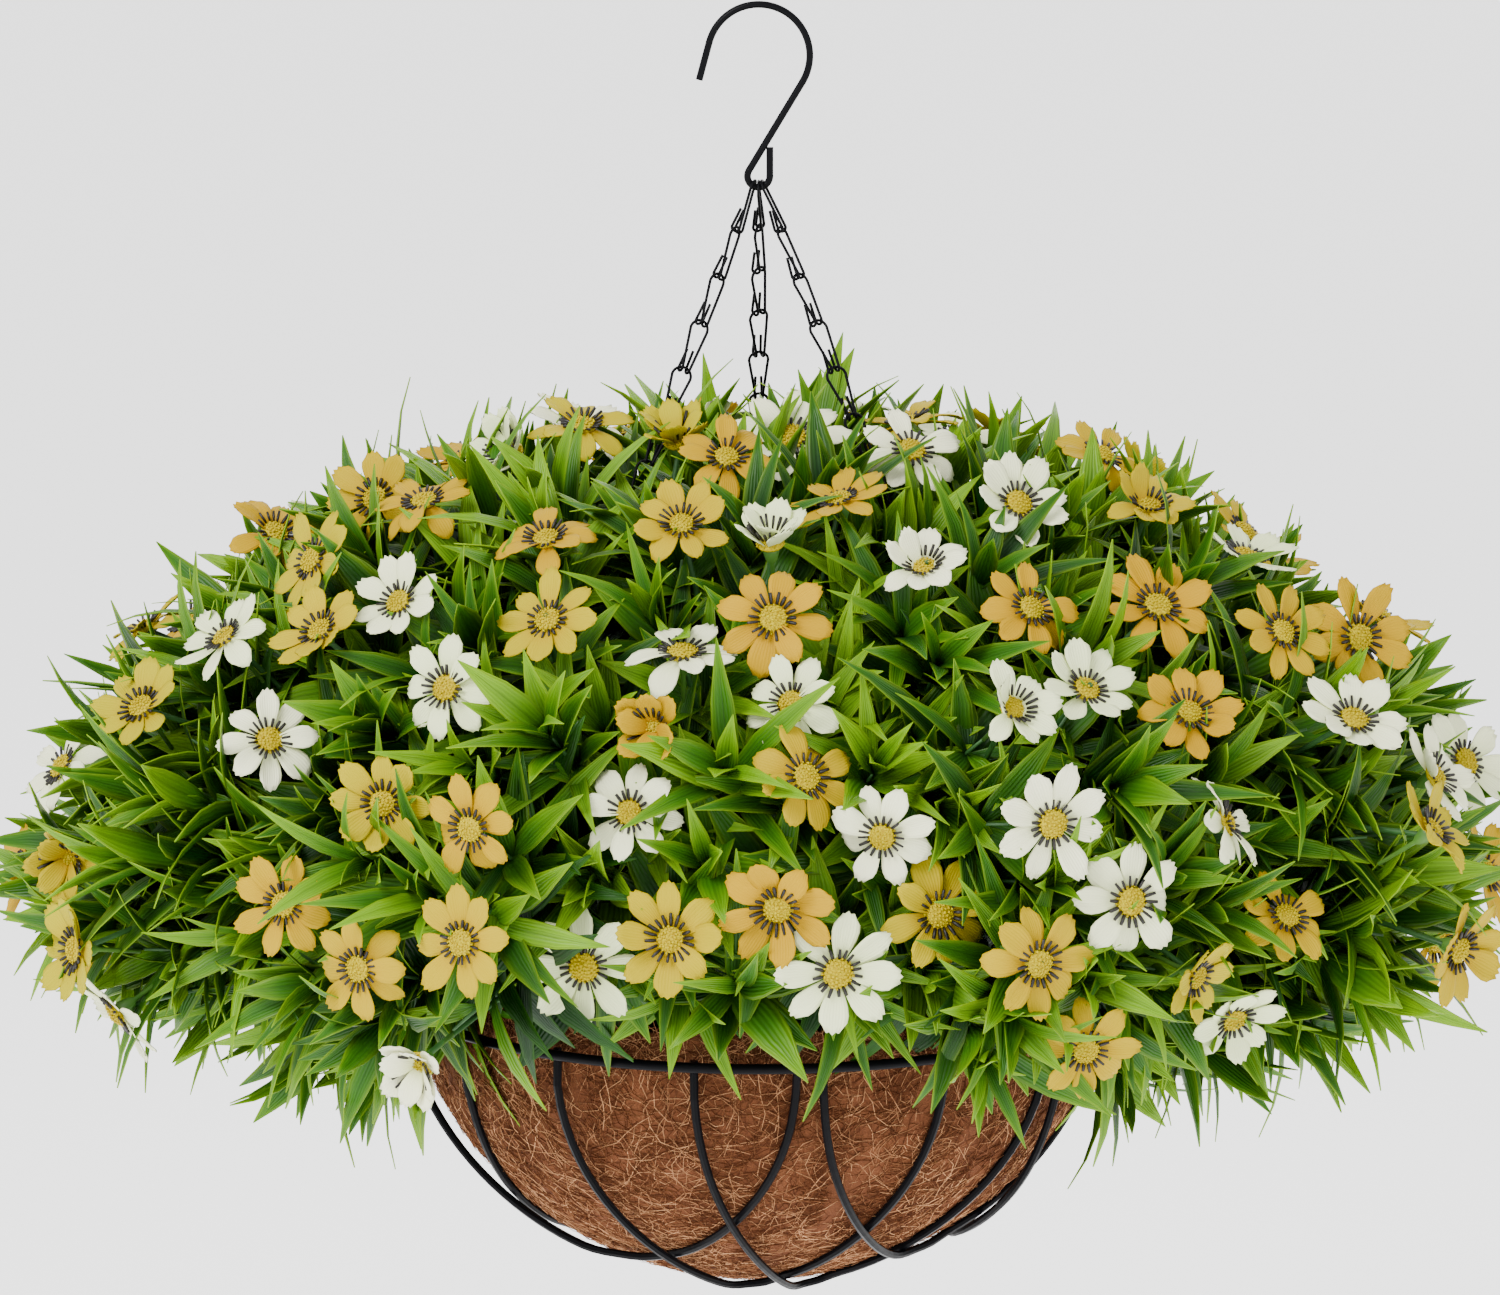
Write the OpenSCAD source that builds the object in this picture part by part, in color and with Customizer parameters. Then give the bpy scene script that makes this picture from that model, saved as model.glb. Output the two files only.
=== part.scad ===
// Hanging flower basket: a wire bowl with a coir liner, hung from an S-hook on three chains of
// bent-wire links, and filled with nine bushes of plastic leaves and blooms pushed into foam.
// The origin is the inside top of the hook's crook, +Z is up and the front is towards -Y.
// Azimuths are in degrees: 0 is the front, and they grow towards +X.

/* [S-hook] */
// Diameter of the hook's wire
hook_wire = 2.9; // [2.6:0.1:3]
// Radius of the crook, at the middle of the wire
crook_r = 21; // [18:0.5:26]
// Lean of the straight shank from vertical
shank_lean = 31; // [28:1:34]
// Radius of the small eye at the bottom, at the middle of the wire
eye_r = 4.6; // [4.5:0.1:4.8]
// Length of the eye's upturned end
eye_end = 12; // [8:1:13]
// Length of the crook's straight free end
crook_end = 16; // [8:1:20]

/* [Chains] */
// Diameter of the chain wire
link_wire = 1.2; // [1:0.1:1.2]
// Radius of a link's bow, at the middle of the wire
bow_r = 4; // [3.9:0.1:4.2]
// Links in each chain
link_count = 18; // [17:1:19]
// Length of a link's free tail
tail_length = 8; // [5:1:9]

/* [Wire bowl] */
// Radius of the rim ring, at the middle of its wire
rim_r = 152.5; // [150:0.5:156]
// Diameter of the rim wire
rim_wire = 4.2; // [3.8:0.1:4.4]
// Diameter of the wire of the U-shaped loops
loop_wire = 3.5; // [3:0.1:3.5]
// Depth of the wire bowl below the rim
bowl_depth = 126.5; // [120:0.5:132]
// Height from the rim up to the hook's eye
rim_drop = 336; // [330:1:350]

/* [Liner and filling] */
// Wall of the coir liner
liner_wall = 9; // [7:0.5:10]
// Height of the liner's edge above the rim
liner_lip = 11; // [8:0.5:12]
// Depth of the foam below the rim
foam_depth = 70; // [50:5:80]

/* [Foliage] */
// Radius of the foliage dome
dome_r = 300; // [290:5:310]
// Height of the dome above the rim
dome_top = 238; // [230:2:240]
// Thickness of the layer of leaves
leaf_layer = 24; // [16:2:26]
// Diameter of a bloom's cup
bloom_d = 30; // [24:1:32]

/* [Hidden] */

$fn = 48;
knuckle = 1.04;      // a bend's ball against its wire, so that the two surfaces cross cleanly
body_gap = 0.3;      // between the hook and what swings on it

// Colours
wire_black = [0.07, 0.07, 0.08];
coir_brown = [0.62, 0.40, 0.26];
foam_green = [0.20, 0.36, 0.22];
leaf_dark = [0.16, 0.38, 0.12];
leaf_light = [0.45, 0.68, 0.16];
bloom_yellow = [0.98, 0.80, 0.20];
bloom_cream = [0.94, 0.95, 0.84];

// ---- places along the hook, in the plane y = 0 ----
crook_z = -(crook_r - hook_wire / 2);
shank_top = [crook_r * cos(shank_lean), crook_z - crook_r * sin(shank_lean)];
shank_length = (shank_top[0] + eye_r * cos(shank_lean)) / sin(shank_lean);
eye_z = shank_top[1] - shank_length * cos(shank_lean) - eye_r * sin(shank_lean);
eye_wire_z = eye_z - eye_r;
rim_z = eye_wire_z - rim_drop;
crook_tip_turn = 165;

// ---- helpers ----
function at(az, r, z) = [r * sin(az), -r * cos(az), z];
function unit(v) = v / norm(v);

// A round bar between two points
module bar(a, b, d) {
    v = b - a;
    translate(a)
        rotate([0, acos(v[2] / norm(v)), atan2(v[1], v[0])])
            cylinder(h = norm(v), d = d);
}

// A bent wire in the plane y = 0: an arc of the given radius from one angle to another
module arc(r, d, from, to) {
    rotate([90, 0, 0]) rotate([0, 0, from])
        rotate_extrude(angle = to - from) translate([r, 0]) circle(d = d, $fn = 32);
}

// ---- S-hook ----
module s_hook() {
    tip = crook_r * [cos(crook_tip_turn), sin(crook_tip_turn)] + [0, crook_z];
    away = [-sin(crook_tip_turn), cos(crook_tip_turn)];
    far = tip + crook_end * away;
    low = [-eye_r * cos(shank_lean), eye_z + eye_r * sin(shank_lean)];
    color(wire_black) union() {
        translate([0, 0, crook_z]) arc(crook_r, hook_wire, -shank_lean, crook_tip_turn);
        bar([tip[0], 0, tip[1]], [far[0], 0, far[1]], hook_wire);
        bar([shank_top[0], 0, shank_top[1]], [low[0], 0, low[1]], hook_wire);
        translate([0, 0, eye_z]) arc(eye_r, hook_wire, 180 - shank_lean, 360);
        bar([eye_r, 0, eye_z], [eye_r, 0, eye_z + eye_end], hook_wire);
        for (bend = [tip, shank_top, low, [eye_r, eye_z]])
            translate([bend[0], 0, bend[1]]) sphere(d = hook_wire * knuckle);
    }
}

// ---- chains ----
chain_az = [-60, 61, 180];                       // left, right, back
chain_x = [-2.2, 2.2, 0];                         // where each top bow lies along the eye
face_turn = [[80, 10, -60], [80, 15, 61], [88, 8, 0]];  // how the links face: top, fifth, last
hook_grip = 1.65;                                // radius of a leg's hook round the next bow
rim_grip = rim_wire / 2 + link_wire / 2 + 0.2;   // the last link's hook, round the rim
leg_x = 1.5;                                     // half the space between a link's two hooks

// The eye's wire rises to both sides. A chain's top bow lies over it, across the wire from its pull.
function eye_wire(x) = [x, 0, eye_z - sqrt(eye_r * eye_r - x * x)];
function chain_foot(i) = at(chain_az[i], rim_r, rim_z);
function chain_top(i) = let (wire = eye_wire(chain_x[i]))
    wire + unit(wire - chain_foot(i)) * ((hook_wire + link_wire) / 2 + body_gap);
function lerp(a, b, t) = a + (b - a) * t;
function facing(i, k) = k < 4 ? lerp(face_turn[i][0], face_turn[i][1], k / 4)
    : lerp(face_turn[i][1], face_turn[i][2], (k - 4) / (link_count - 5));

// One link hangs down from the top of its bow. Each leg ends in a hook round the wire below.
module chain_link(pitch, twist, grip) {
    sag = grip > hook_grip ? 0 : bow_r - sqrt(bow_r * bow_r - leg_x * leg_x);
    union() {
        translate([0, 0, -bow_r]) arc(bow_r, link_wire, 0, 180);
        for (side = [-1, 1]) {
            centre = [side * leg_x, side * leg_x * tan(twist), -pitch - sag];
            shoulder = [side * bow_r, 0, -bow_r];
            inner = centre - [0, grip, 0];
            outer = centre + [0, grip, 0];
            tail = outer + [-side * 0.3, -grip * 0.5, tail_length];
            bar(shoulder, inner, link_wire);
            bar(outer, tail, link_wire);
            translate(shoulder) sphere(d = link_wire * knuckle, $fn = 24);
            translate(inner) sphere(d = link_wire * knuckle, $fn = 24);
            translate(outer) sphere(d = link_wire * knuckle, $fn = 24);
            translate(centre) rotate([0, 0, 90]) arc(grip, link_wire, 180, 360);
        }
    }
}

module chain(i) {
    run = chain_foot(i) - chain_top(i);
    pitch = norm(run) / link_count;
    lean = acos(-run[2] / norm(run));
    turn = atan2(run[1], run[0]);
    color(wire_black)
        translate(chain_top(i)) rotate([0, 0, turn]) rotate([0, -lean, 0])
            for (k = [0 : link_count - 1]) {
                last = k == link_count - 1;
                roll = facing(i, k);
                twist = last ? 0 : facing(i, k + 1) - roll;
                translate([0, 0, -k * pitch]) rotate([0, 0, roll - turn])
                    chain_link(pitch, twist, last ? rim_grip : hook_grip);
            }
}

module chain_left() { chain(0); }
module chain_right() { chain(1); }
module chain_back() { chain(2); }

// ---- wire bowl ----
bowl_power = 1.9;
loop_r = rim_r - (rim_wire + loop_wire) / 2 - 0.1;   // the loops end against the rim's inside
loop_step = loop_wire / 2 + 0.08;                     // crossing wires pass one over the other
// centre, half span and drop of each loop, which are bent and welded by hand
loops = [[-94, 38, 105], [-37, 43, 99], [-1, 32, 113], [22, 32, 115], [50, 40, 99],
         [90, 34, 105], [126, 34, 105], [162, 34, 105], [197, 34, 105], [232, 34, 105]];
loop_steps = 48;
loop_sides = 8;
loop_power = 2.4;     // roundness of a loop's outline
loop_end = 0.6;       // where the outline starts and stops, in degrees from its ends
loop_end_rise = 4.6;  // the ends run straight up past the rim's middle

function bowl_at(r, depth, down) =
    r * pow(1 - pow(min(down, depth) / depth, bowl_power), 1 / bowl_power);
function ease(t) = let (c = max(0, min(1, t))) c * c * (3 - 2 * c);
// The loop's outline: s runs from 0 at its left end to 180 at its right end
function loop_side(s) = -sign(cos(s)) * pow(abs(cos(s)), 2 / loop_power);
function loop_down(s, drop) = drop * pow(sin(s), 2 / loop_power);
function loop_point(l, s) =
    let (u = loop_side(s), down = loop_down(s, l[2]), r = bowl_at(loop_r, bowl_depth, down),
         straight_out = unit([pow(r / loop_r, bowl_power - 1) / loop_r,
                              pow(down / bowl_depth, bowl_power - 1) / bowl_depth]),
         out = -sign(u) * loop_step * ease(abs(u) * 3) * ease(down / 16) * straight_out)
    at(l[0] + u * l[1], r + out[0], rim_z - down - out[1]);
function loop_path(l) = let (up = [0, 0, loop_end_rise],
    curve = [for (i = [0 : loop_steps]) loop_point(l, lerp(loop_end, 180 - loop_end, i / loop_steps))])
    concat([curve[0] + up], curve, [curve[loop_steps] + up]);

// A round wire swept along a path of points
module swept_wire(path, d, sides) {
    n = len(path);
    turn = [for (i = [0 : n - 1]) unit(path[min(i + 1, n - 1)] - path[max(i - 1, 0)])];
    points = [for (i = [0 : n - 1])
        let (out = unit([path[i][0], path[i][1], 0]), across = unit(cross(turn[i], out)),
             over = cross(across, turn[i]))
        for (j = [0 : sides - 1])
            path[i] + d / 2 * (cos(360 * j / sides) * across + sin(360 * j / sides) * over)];
    walls = [for (i = [0 : n - 2]) for (j = [0 : sides - 1])
        let (a = i * sides + j, b = i * sides + (j + 1) % sides)
        for (face = [[a, b, b + sides], [a, b + sides, a + sides]]) face];
    ends = [[for (j = [sides - 1 : -1 : 0]) j], [for (j = [0 : sides - 1]) (n - 1) * sides + j]];
    polyhedron(concat(points), concat(walls, ends), convexity = 10);
}

module rim_ring() {
    color(wire_black) translate([0, 0, rim_z])
        rotate_extrude($fn = 96) translate([rim_r, 0]) circle(d = rim_wire, $fn = 32);
}

module basket_loop(i) {
    color(wire_black) swept_wire(loop_path(loops[i - 1]), loop_wire, loop_sides);
}

// ---- coir liner, foam and base greenery ----
liner_r = loop_r - loop_wire / 2 - loop_step - 0.3;
liner_depth = bowl_depth - loop_wire / 2 - loop_step - 0.3;
profile_steps = 20;
function bowl_profile(r, depth, from, to) = [for (i = [0 : profile_steps])
    let (down = lerp(from, to, sin(90 * i / profile_steps))) [bowl_at(r, depth, down), -down]];
function back_to_front(list) = [for (i = [len(list) - 1 : -1 : 0]) list[i]];

module coir_liner() {
    outside = bowl_profile(liner_r, liner_depth, 0, liner_depth);
    inside = bowl_profile(liner_r - liner_wall, liner_depth - liner_wall, 0, liner_depth - liner_wall);
    color(coir_brown) translate([0, 0, rim_z]) rotate_extrude($fn = 96)
        polygon(concat([[liner_r, liner_lip]], outside, back_to_front(inside),
                       [[liner_r - liner_wall, liner_lip]]));
}

module foam_block() {
    color(foam_green) translate([0, 0, rim_z]) rotate_extrude($fn = 96)
        polygon(concat([[0, -4]],
            bowl_profile(liner_r - liner_wall - 1, liner_depth - liner_wall, 4, foam_depth),
            [[0, -foam_depth]]));
}

greenery_r = liner_r - liner_wall - 1.5;
module base_greenery() {
    color(leaf_dark) translate([0, 0, rim_z - 3.5])
        rotate_extrude($fn = 96) polygon([[0, 0], [greenery_r, 0], [greenery_r, 9],
                                          [greenery_r - 6, 15], [0, 15]]);
}

// ---- bushes ----
// Each bush fills a sector of the dome between the planes of the chains:
// centre azimuth, width in degrees, reach, height of its widest part above the rim, turn of its skirt
bushes = [[-41, 37, 0.88, 52, 48], [0.5, 43, 0.72, 72, 30], [42, 37, 0.86, 52, 46],
          [81, 37, 1, 52, 56], [120.5, 39, 0.95, 52, 52], [160, 37, 0.8, 60, 40],
          [200, 37, 0.8, 60, 40], [240, 39, 0.95, 52, 52], [280, 37, 1, 52, 56]];
skirt = 100;            // how far the dome would curl in below its widest part
chain_slot = 13;       // width of the slot that each chain leaves in the leaves
slot_reach = 180;
top_hole_r = 24;       // open round the axis at the top
sector_gap = 0.8;

// The dome's outline in a bush: t is 90 at the top, 0 at the widest part and below 0 under that
function dome_point(bush, t, inset) = [(dome_r * bush[2] - inset) * cos(t),
    bush[3] + (t > 0 ? dome_top - bush[3] - inset : skirt - inset) * sin(t)];

module leaf_profile(bush) {
    turns = [for (k = [0 : 16]) lerp(90, -bush[4], k / 16)];
    polygon(concat([for (t = turns) dome_point(bush, t, 0)],
                   [for (t = back_to_front(turns)) dome_point(bush, t, leaf_layer)]));
}

module leaves(i) {
    bush = bushes[i - 1];
    edges = [bush[0] - bush[1] / 2, bush[0] + bush[1] / 2];
    color(leaf_light) translate([0, 0, rim_z]) difference() {
        rotate([0, 0, edges[0] - 90])
            rotate_extrude(angle = bush[1], $fn = 96) leaf_profile(bush);
        cylinder(r = top_hole_r, h = dome_top + 10);
        for (edge = edges) rotate([0, 0, edge - 90])
            translate([-1, -sector_gap / 2, -skirt])
                cube([dome_r + 2, sector_gap, dome_top + skirt + 10]);
        for (az = chain_az) rotate([0, 0, az - 90])
            translate([0, -chain_slot / 2, 0]) cube([slot_reach, chain_slot, dome_top + 10]);
    }
}

// Where each bush's blooms stand: [azimuth, t on the dome's outline]
cream_front = [
    [[-50, 45], [-34, 35], [-54, 25], [-31, -18]],
    [[2, 52], [-10, 37], [-14, 15], [4, 30], [13, 12], [8, -9], [-19, -12]],
    [[30, 84], [55, 73], [50, 59], [26, 54], [26, 32], [38, 35], [27, 19], [47, 16], [35, 9], [52, -20]],
    [[64, 27], [71, 17], [74, 47]], [], [], [], [],
    [[282, 70], [294, 38], [295, -20]]];
yellow_front = [
    [[-33, 77], [-36, 57], [-27, 46], [-55, 38], [-26, 19], [-37, 21], [-45, 7], [-25, 6], [-36, 1]],
    [[-10, 70], [-15, 57], [17, 60], [2, 41], [-12, 26], [5, 20], [2, 3], [19, 1], [-9, -3]],
    [[37, 46], [55, 42], [48, 29], [25, 3], [42, -3], [54, 3], [31, -17]],
    [[92, 78], [94, 62], [68, 56], [76, 34], [65, 39], [67, -5], [64, 12]], [], [], [], [],
    [[270, 76], [296, 60], [280, 58], [295, 49], [292, 27], [288, 7], [296, -4]]];

// The blooms that the front doesn't show stand in two rows, left and right in turn
function behind(i) = i >= 4 && i <= 7 ? [0 : 9] : i == 3 || i == 8 ? [10 : 14] : [];
function behind_spot(i, k) = k < 10
    ? [bushes[i][0] + (k % 2 ? 1 : -1) * bushes[i][1] * (0.14 + 0.08 * (k % 3)), 71 - 8.7 * k]
    : [bushes[i][0] + (i == 3 ? 1 : -1) * (6 + 4 * (k % 3)), 48 - 17 * (k - 10)];
function spots(i, cream) = concat((cream ? cream_front : yellow_front)[i],
    [for (k = behind(i)) if ((k % 3 == 0) == cream) behind_spot(i, k)]);

// A bloom's base lies just clear of the leaves, and it faces straight out of the dome
function bloom_base(i, spot) = let (p = dome_point(bushes[i], spot[1], -1))
    at(spot[0], p[0], rim_z + p[1]);
function bloom_lean(i, t) = let (wide = dome_r * bushes[i][2],
    tall = t > 0 ? dome_top - bushes[i][3] : skirt) atan2(cos(t) * tall, sin(t) * wide);

module blooms(i, cream) {
    bush = i - 1;
    color(cream ? bloom_cream : bloom_yellow)
        for (spot = spots(bush, cream)) translate(bloom_base(bush, spot))
            rotate([0, 0, spot[0] - 90]) rotate([0, bloom_lean(bush, spot[1]), 0])
                rotate_extrude() polygon([[0, 0], [3, 0], [4, 3], [bloom_d / 2, 9],
                                          [bloom_d / 2, 11], [6, 7], [0, 7]]);
}

trunk_d = 5;
branch_d = 2.2;
trunk_foot = [62, -45];      // how far from the axis and how high above the rim the trunk starts
trunk_top = [0.45, 118];     // as a part of the bush's reach, and how high above the rim
forks = [0.42, 0.97];        // between these parts of the trunk
// A trunk leans out from the foam, and its branches leave it one above the other
module stems(i) {
    bush = i - 1;
    az = bushes[bush][0];
    reach = dome_r * bushes[bush][2];
    foot = at(az, trunk_foot[0], rim_z + trunk_foot[1]);
    top = at(az, reach * trunk_top[0], rim_z + trunk_top[1]);
    ends = concat(spots(bush, true), spots(bush, false));
    color(leaf_dark) union() {
        bar(foot, top, trunk_d);
        for (k = [0 : len(ends) - 1]) {
            fork = lerp(foot, top, lerp(forks[0], forks[1], k / (len(ends) - 1)));
            base = bloom_base(bush, ends[k]);
            bar(fork, base - 0.3 * unit(base - fork), branch_d);
        }
    }
}

s_hook();
chain_left();
chain_right();
chain_back();
rim_ring();
for (i = [1 : 10]) basket_loop(i);
coir_liner();
foam_block();
base_greenery();
for (i = [1 : 9]) {
    stems(i);
    leaves(i);
    blooms(i, true);
    blooms(i, false);
}
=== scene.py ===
import math

import bpy
import numpy as np
from mathutils import Matrix, Vector


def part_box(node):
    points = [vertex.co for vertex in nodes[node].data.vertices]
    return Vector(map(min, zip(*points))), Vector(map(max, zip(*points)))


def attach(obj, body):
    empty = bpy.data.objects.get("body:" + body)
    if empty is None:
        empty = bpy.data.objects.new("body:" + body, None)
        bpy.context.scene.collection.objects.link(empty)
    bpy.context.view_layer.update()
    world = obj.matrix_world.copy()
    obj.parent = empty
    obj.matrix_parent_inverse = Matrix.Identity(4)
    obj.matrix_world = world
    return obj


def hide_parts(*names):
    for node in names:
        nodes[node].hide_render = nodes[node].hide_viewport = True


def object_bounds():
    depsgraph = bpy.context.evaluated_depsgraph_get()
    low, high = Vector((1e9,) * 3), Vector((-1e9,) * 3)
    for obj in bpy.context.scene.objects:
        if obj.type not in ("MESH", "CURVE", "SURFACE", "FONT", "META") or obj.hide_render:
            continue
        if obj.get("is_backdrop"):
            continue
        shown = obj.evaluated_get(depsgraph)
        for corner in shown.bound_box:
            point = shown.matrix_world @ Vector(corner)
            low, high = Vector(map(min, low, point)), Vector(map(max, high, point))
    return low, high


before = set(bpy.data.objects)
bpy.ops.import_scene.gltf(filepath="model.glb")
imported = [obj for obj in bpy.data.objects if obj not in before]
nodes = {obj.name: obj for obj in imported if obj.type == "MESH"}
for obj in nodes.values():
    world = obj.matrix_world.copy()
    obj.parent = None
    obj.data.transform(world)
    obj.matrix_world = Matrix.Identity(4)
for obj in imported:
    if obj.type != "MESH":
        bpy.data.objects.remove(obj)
cad_low, cad_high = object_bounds()


# ---- Camera, floor and light ----
# The basket hangs in a white studio: a long lens a little above the rim, a pale floor far
# below the liner, and large soft lamps on both sides of the lens.
rim_low, rim_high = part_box("rim_ring")
rim_centre = (rim_low + rim_high) / 2
lens_distance = 3.0
look_down_on_rim = math.radians(13)
axis_above_rim = math.radians(2.695)
turn_aside = math.radians(0.07)
view_width = 0.631
sensor = 36

camera = bpy.data.objects.new("camera", bpy.data.cameras.new("camera"))
bpy.context.scene.collection.objects.link(camera)
bpy.context.scene.camera = camera
camera.location = rim_centre + lens_distance * Vector((0, -math.cos(look_down_on_rim),
                                                       math.sin(look_down_on_rim)))
camera.rotation_euler = (math.radians(90) - look_down_on_rim + axis_above_rim, 0, turn_aside)
camera.data.sensor_width = sensor
camera.data.lens = sensor * lens_distance / view_width
camera.data.clip_end = 100


def lamp(name, place, aim, size, power):
    """A square soft box that faces a point."""
    light = bpy.data.lights.new(name, "AREA")
    light.size = size
    light.energy = power
    lamp_object = bpy.data.objects.new(name, light)
    bpy.context.scene.collection.objects.link(lamp_object)
    lamp_object.location = place
    lamp_object.rotation_euler = (Vector(aim) - Vector(place)).to_track_quat("-Z", "Y").to_euler()


middle = (cad_low + cad_high) / 2
lamp("key_light", middle + Vector((-1.1, -1.5, 1.5)), middle, 1.2, 75)
lamp("fill_light", middle + Vector((1.6, -1.3, 0.5)), middle, 1.4, 12)
lamp("back_light", middle + Vector((0.4, 1.8, 1.2)), middle, 1.4, 25)
studio = bpy.data.worlds.new("studio")
bpy.context.scene.world = studio
studio.use_nodes = True
studio.node_tree.nodes["Background"].inputs["Color"].default_value = (1, 1, 1, 1)
studio.node_tree.nodes["Background"].inputs["Strength"].default_value = 1.05


class Signal:
    """A value on its way through a material's nodes. Arithmetic on it adds Math nodes."""

    def __init__(self, tree, socket):
        self.tree = tree
        self.socket = socket

    def node(self, kind, settings, inputs, output=0):
        made = self.tree.nodes.new(kind)
        for name, value in settings.items():
            if name == "stops":
                for place, colour in value[:-2]:
                    made.color_ramp.elements.new(place)
                for element, (place, colour) in zip(made.color_ramp.elements, value):
                    element.position = place
                    element.color = (*colour, 1)
            else:
                setattr(made, name, value)
        for name, value in inputs.items():
            socket = made.inputs[name]
            if isinstance(value, Signal):
                self.tree.links.new(value.socket, socket)
            else:
                socket.default_value = value
        return Signal(self.tree, made.outputs[output])

    def math(self, operation, first, second=0.0):
        return self.node("ShaderNodeMath", {"operation": operation}, {0: first, 1: second})

    def __add__(self, other):
        return self.math("ADD", self, other)

    def __radd__(self, other):
        return self.math("ADD", other, self)

    def __sub__(self, other):
        return self.math("SUBTRACT", self, other)

    def __rsub__(self, other):
        return self.math("SUBTRACT", other, self)

    def __mul__(self, other):
        return self.math("MULTIPLY", self, other)

    def __rmul__(self, other):
        return self.math("MULTIPLY", other, self)

    def __pow__(self, other):
        return self.math("POWER", self, other)

    def sine(self):
        return self.math("SINE", self)

    def size(self):
        return self.math("ABSOLUTE", self)

    def mix(self, first, second):
        return self.node("ShaderNodeMix", {"data_type": "RGBA"}, {0: self, 6: first, 7: second}, 2)

    def ramp(self, stops):
        return self.node("ShaderNodeValToRGB", {"stops": stops}, {0: self})


def finish(name, constants):
    """A new material, with constants on the sockets of its Principled shader."""
    material = bpy.data.materials.new(name)
    material.use_nodes = True
    for socket, value in constants.items():
        material.node_tree.nodes["Principled BSDF"].inputs[socket].default_value = value
    return material


def first(material, kind, settings, inputs, output=0):
    """The first signal of a material, from a node that no other feeds."""
    return Signal(material.node_tree, None).node(kind, settings, inputs, output)


def feed(material, socket, signal):
    """Leads a signal to a socket of the material's shader."""
    tree = material.node_tree
    tree.links.new(signal.socket, tree.nodes["Principled BSDF"].inputs[socket])


def bump(material, height, strength, distance):
    """Makes a material's surface rise and sink with a signal."""
    normal = first(material, "ShaderNodeBump", {}, {"Height": height, "Strength": strength,
                                                    "Distance": distance})
    feed(material, "Normal", normal)


object_place = 3          # the Object output of a Texture Coordinate node


def noise(material, scale, detail=2.0, stretch=(1, 1, 1)):
    """Noise over the object's own coordinates."""
    place = first(material, "ShaderNodeTexCoord", {}, {}, object_place)
    fitted = place.node("ShaderNodeMapping", {}, {"Vector": place, "Scale": stretch})
    return place.node("ShaderNodeTexNoise", {}, {"Vector": fitted, "Scale": scale, "Detail": detail})


floor_mesh = bpy.data.meshes.new("studio_floor")
floor_z = cad_low.z - 0.45
floor_reach = 30
floor_mesh.from_pydata([(x * floor_reach, y * floor_reach, floor_z)
                        for x, y in ((-1, -1), (1, -1), (1, 1), (-1, 1))], [], [(0, 1, 2, 3)])
floor = bpy.data.objects.new("studio_floor", floor_mesh)
bpy.context.scene.collection.objects.link(floor)
pale = finish("pale_floor", {"Base Color": (0.92, 0.92, 0.92, 1), "Roughness": 0.9,
                             "Emission Color": (1, 1, 1, 1), "Emission Strength": 1.4})
floor_mesh.materials.append(pale)
floor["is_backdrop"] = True


# ---- Coated wire: hook, chains and rim ----
# The hook, the chain links and the rim are steel wire dipped in black plastic, so their
# gloss is soft and slightly uneven. Their shapes are the frame's own.
black_coat = finish("black_coated_wire", {"Base Color": (0.004, 0.004, 0.005, 1),
                                          "Specular IOR Level": 0.05})
coat_ripple = noise(black_coat, 420, 3)
feed(black_coat, "Roughness", 0.24 + 0.16 * coat_ripple)
bump(black_coat, coat_ripple, 0.25, 0.0003)


def coat(name, material):
    """Gives a piece of the frame its finish."""
    nodes[name].data.materials.clear()
    nodes[name].data.materials.append(material)


coat("s_hook", black_coat)
for side in ("left", "right", "back"):
    coat(f"chain_{side}", black_coat)
coat("rim_ring", black_coat)


# ---- Basket loops ----
# Ten U-shaped wires of the same coated steel are bent by hand and welded inside the rim,
# where each passes over its neighbour.
loop_count = 10
for i in range(1, loop_count + 1):
    coat(f"basket_loop_{i}", black_coat)


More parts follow.
